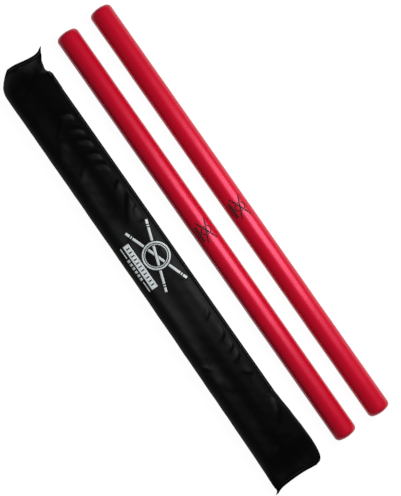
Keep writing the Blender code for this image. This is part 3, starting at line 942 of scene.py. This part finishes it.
def make_teeth_tree():
    """A straight row of teeth along X."""
    tree, given = start_tree("zip_teeth", (
        ("Count", "NodeSocketInt", 10), ("Pitch", "NodeSocketFloat", TOOTH_PITCH),
        ("Start", "NodeSocketVector", None), ("Turn", "NodeSocketRotation", None),
        ("Size", "NodeSocketVector", None), ("Material", "NodeSocketMaterial", None),
    ))
    ahead = add(tree, "ShaderNodeCombineXYZ", {"X": given["Pitch"]})
    line = add(
        tree, "GeometryNodeMeshLine",
        {
            "Count": given["Count"], "Start Location": given["Start"],
            "Offset": ahead.outputs["Vector"],
        },
        mode="OFFSET",
    )
    return finish_tree(tree, line.outputs["Mesh"], given, given["Turn"], (1.0, 1.0, 1.0))


def make_stitch_tree():
    """A row of thread stitches along a polyline, each a little longer or shorter than the next."""
    tree, given = start_tree("stitches", (
        ("Pitch", "NodeSocketFloat", STITCH_PITCH), ("Size", "NodeSocketVector", None),
        ("Seed", "NodeSocketInt", 7), ("Material", "NodeSocketMaterial", None),
    ))
    curve = add(tree, "GeometryNodeMeshToCurve", {"Mesh": given["Geometry"]})
    stops = add(
        tree, "GeometryNodeResampleCurve",
        {"Curve": curve.outputs["Curve"], "Length": given["Pitch"]},
        mode="LENGTH",
    )
    ahead = add(tree, "GeometryNodeInputTangent")
    turned = add(
        tree, "FunctionNodeAlignRotationToVector", {"Vector": ahead.outputs["Tangent"]}, axis="X"
    )
    varied = add(
        tree, "FunctionNodeRandomValue",
        {2: 0.88, 3: 1.08, "Seed": given["Seed"]},
        data_type="FLOAT",
    )
    return finish_tree(
        tree, stops.outputs["Curve"], given, turned.outputs["Rotation"], varied.outputs[1]
    )


def run_tree(name, tree, source, values, body):
    """Runs a node tree on a source mesh and keeps the result as a plain piece on a body."""
    carrier = bpy.data.objects.new(name + "_carrier", source)
    bpy.context.collection.objects.link(carrier)
    nodes = carrier.modifiers.new("nodes", "NODES")
    nodes.node_group = tree
    for item in tree.interface.items_tree:
        if item.in_out == "INPUT" and item.name in values:
            nodes[item.identifier] = values[item.name]
    seen = carrier.evaluated_get(bpy.context.evaluated_depsgraph_get())
    mesh = bpy.data.meshes.new_from_object(seen)
    mesh.name = name
    carrier.modifiers.clear()
    bpy.data.objects.remove(carrier)
    piece = bpy.data.objects.new(name, mesh)
    bpy.context.collection.objects.link(piece)
    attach(piece, body)
    return piece


def make_zip_teeth(finish):
    """Nylon teeth from both tapes; they meet between each other in the middle."""
    tree = make_teeth_tree()
    count = int((ZIP_TAIL_X - ZIP_HEAD_X) / TOOTH_PITCH)
    radial = Vector((0, math.cos(ZIP_TILT), math.sin(ZIP_TILT)))
    around = Vector((0, -math.sin(ZIP_TILT), math.cos(ZIP_TILT)))
    middle = Vector((0, BAG_Y + ROLL_RADIUS, BAG_MID_Z)) + radial * (COIL_INNER + COIL_OUTER) / 2
    for name, side in (("front", 1), ("back", -1)):
        start = middle + around * side * 1.05 * MM
        start.x = ZIP_HEAD_X + 0.5 * TOOTH_PITCH * (1 if side > 0 else 2)
        # Each tooth lies across the zip, square to it, and leans a little towards the tail.
        across = Matrix.Rotation(math.pi / 2 + ZIP_TILT, 3, "X")
        turn = across @ Matrix.Rotation(math.radians(14 * side), 3, "Z")
        values = {
            "Count": count - (side < 0), "Pitch": TOOTH_PITCH, "Start": start,
            "Turn": turn.to_euler(), "Size": TOOTH_SIZE, "Material": finish,
        }
        empty = bpy.data.meshes.new("empty")
        teeth = run_tree(f"zip_teeth_{name}", tree, empty, values, "bag")
        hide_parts(f"zip_coil_{name}")


def fold_point(x, is_front):
    """The outside of the cloth where the zip's hem is sewn down."""
    turn = (HEM * in_zip(x) + HEM_FOLD * MM) / ROLL_RADIUS
    a = seam_angle(x) + turn if is_front else seam_angle(x) - turn
    y, z = ROLL_RADIUS * (1 + math.cos(a)), ROLL_RADIUS * math.sin(a)
    return bag_point(x, y, z, HEM_FOLD, is_front)


def make_stitches(thread):
    """Thread along both zip hems and across both sewn ends."""
    tree = make_stitch_tree()
    rows = {}
    hem_x = np.arange(ZIP_HEAD_X - 3 * MM, ZIP_TAIL_X + 4 * MM, 2 * MM)
    ends = (("head", BAG_HEAD_X + SEAM_LIP * MM), ("tail", BAG_TAIL_X - SEAM_LIP * MM))
    for name, is_front in (("front", True), ("back", False)):
        rows[f"hem_stitches_{name}"] = [fold_point(x, is_front) for x in hem_x]
        for end, x in ends:
            # The row stops short of both side edges, where the seams meet.
            section = bag_section(is_front, seam_angle(x), 0.0)[6:-6]
            points = [bag_point(x, y, z, d, is_front) for y, z, d in section]
            rows[f"{end}_seam_stitches_{name}"] = points
    for name, points in rows.items():
        mesh = bpy.data.meshes.new(name)
        mesh.from_pydata(points, [(i, i + 1) for i in range(len(points) - 1)], [])
        values = {"Size": STITCH_SIZE, "Pitch": STITCH_PITCH, "Material": thread}
        run_tree(name, tree, mesh, values, "bag")


# --- Camera, light and floor --------------------------------------------------------------------
# One long lamp on the sticks' side, about 40 degrees off the vertical.
LAMP_PLACE = (0.03, 0.64, 0.76)
LAMP_SIZE = (0.26, 0.74)
LAMP_WATTS = 8.9
WORLD_STRENGTH = 0.22
# The floor reaches far enough that low views don't show its edge.
FLOOR_HALF = 60.0
FLOOR_SHARE = 0.8
FLOOR_GLOW = 1.2


def aim(item, target, up):
    """Turns a camera or lamp to look at a point, with that direction upwards in its view."""
    away = (item.location - target).normalized()
    right = up.cross(away).normalized()
    item.rotation_euler = Matrix((right, away.cross(right), away)).transposed().to_euler()


def make_camera():
    """Straight above the set, turned so that the sticks run down and to the right."""
    camera = bpy.data.objects.new("camera", bpy.data.cameras.new("camera"))
    bpy.context.collection.objects.link(camera)
    target = Vector((0.0083, 0.0076, 0.018))
    distance = 2.2
    view_height = 0.7155
    sensor = 36.0
    camera.data.sensor_width = sensor
    camera.data.lens = sensor * distance / view_height
    camera.location = target + Vector((0, 0, distance))
    aim(camera, target, Vector((-0.819, 0.574, 0)))
    bpy.context.scene.camera = camera


def make_lamp(name, location, target, size, watts):
    """A rectangular soft lamp that looks at a point."""
    lamp = bpy.data.objects.new(name, bpy.data.lights.new(name, "AREA"))
    bpy.context.collection.objects.link(lamp)
    lamp.data.shape = "RECTANGLE"
    lamp.data.size, lamp.data.size_y = size
    lamp.data.energy = watts
    lamp.location = location
    aim(lamp, Vector(target), Vector((0, 1, 0)))


def make_stage():
    """A wide floor that looks nearly white, and keeps its soft shadows.

    A share of it glows for the camera and in reflections, and what lamps light is pale grey, so
    that it throws little light back up at the sticks and the bag.
    """
    bm = bmesh.new()
    bmesh.ops.create_grid(bm, x_segments=1, y_segments=1, size=FLOOR_HALF)
    mesh = bpy.data.meshes.new("floor")
    bm.to_mesh(mesh)
    bm.free()
    floor = bpy.data.objects.new("floor", mesh)
    floor.location.z = -0.2 * MM
    bpy.context.collection.objects.link(floor)
    made, tree, shader = new_material("white_paper_floor")
    set_inputs(shader, Base_Color=linear("#C8C8C8"), Roughness=0.9)
    ray = add(tree, "ShaderNodeLightPath").outputs
    mirrored = add(
        tree, "ShaderNodeMath",
        {0: ray["Is Glossy Ray"], 1: ray["Is Transmission Ray"]},
        operation="MAXIMUM",
    )
    seen = add(
        tree, "ShaderNodeMath",
        {0: ray["Is Camera Ray"], 1: mirrored.outputs["Value"]},
        operation="MAXIMUM",
    )
    share = add(
        tree, "ShaderNodeMath", {0: seen.outputs["Value"], 1: FLOOR_SHARE}, operation="MULTIPLY"
    )
    glow = add(tree, "ShaderNodeEmission", {"Strength": FLOOR_GLOW})
    pick = add(
        tree, "ShaderNodeMixShader",
        {"Fac": share.outputs["Value"], 1: shader.outputs["BSDF"], 2: glow.outputs["Emission"]},
    )
    tree.links.new(pick.outputs["Shader"], tree.nodes["Material Output"].inputs["Surface"])
    floor.data.materials.append(made)

    world = bpy.data.worlds.new("studio")
    bpy.context.scene.world = world
    world.use_nodes = True
    set_inputs(
        world.node_tree.nodes["Background"], Color=linear("#FFFFFF"), Strength=WORLD_STRENGTH
    )


def build():
    """Sets up the scene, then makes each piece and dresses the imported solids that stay."""
    bpy.context.scene.view_settings.view_transform = "Standard"
    make_camera()
    make_stage()
    make_lamp("strip_softbox", LAMP_PLACE, (0, 0, 0.02), LAMP_SIZE, LAMP_WATTS)

    foam, cut_foam = make_foam_skin(), make_cut_foam()
    dark_ink = make_ink("screen_print_ink_black", "#1B0507", "#5E0A18", 1.6, 0.66)
    for name, seed in (("outer", 2.0), ("inner", 11.0)):
        print_stick(name, make_stick(name, seed, foam, cut_foam), dark_ink)
    nylon = make_satin_nylon()
    front = make_panel("bag_front_cloth", True, nylon)
    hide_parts("bag_front_panel")
    back = make_panel("bag_back_cloth", False, nylon)
    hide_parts("bag_back_panel")
    print_bag(front, make_ink("screen_print_ink_silver", "#D5DCDE", "#9AA0A2", 1.2, 0.62))
    make_zip_teeth(make_plain("moulded_nylon_coil_black", "#0C0D0D", 0.5, grain=0.2, gloss=0.2))
    make_stitches(make_woven("sewing_thread_black", "#0D0E0E", 0.5))

    tape = make_woven("woven_polyester_tape", "#040404", 0.8)
    zinc = make_plain("black_nickel_plated_zinc", "#3E3F43", 0.3, metallic=1.0, grain=0.3)
    pipe = make_plain("extruded_pvc_white", "#DAD8D0", 0.4, grain=0.6)
    cap = make_plain("moulded_polythene_black", "#121212", 0.45)
    dressed = {"tape": tape, "core_tube": pipe, "core_cap": cap}
    for name, item in frame["nodes"].items():
        finish = next((made for part, made in dressed.items() if part in name), zinc)
        item.data.materials.clear()
        item.data.materials.append(finish)


build()
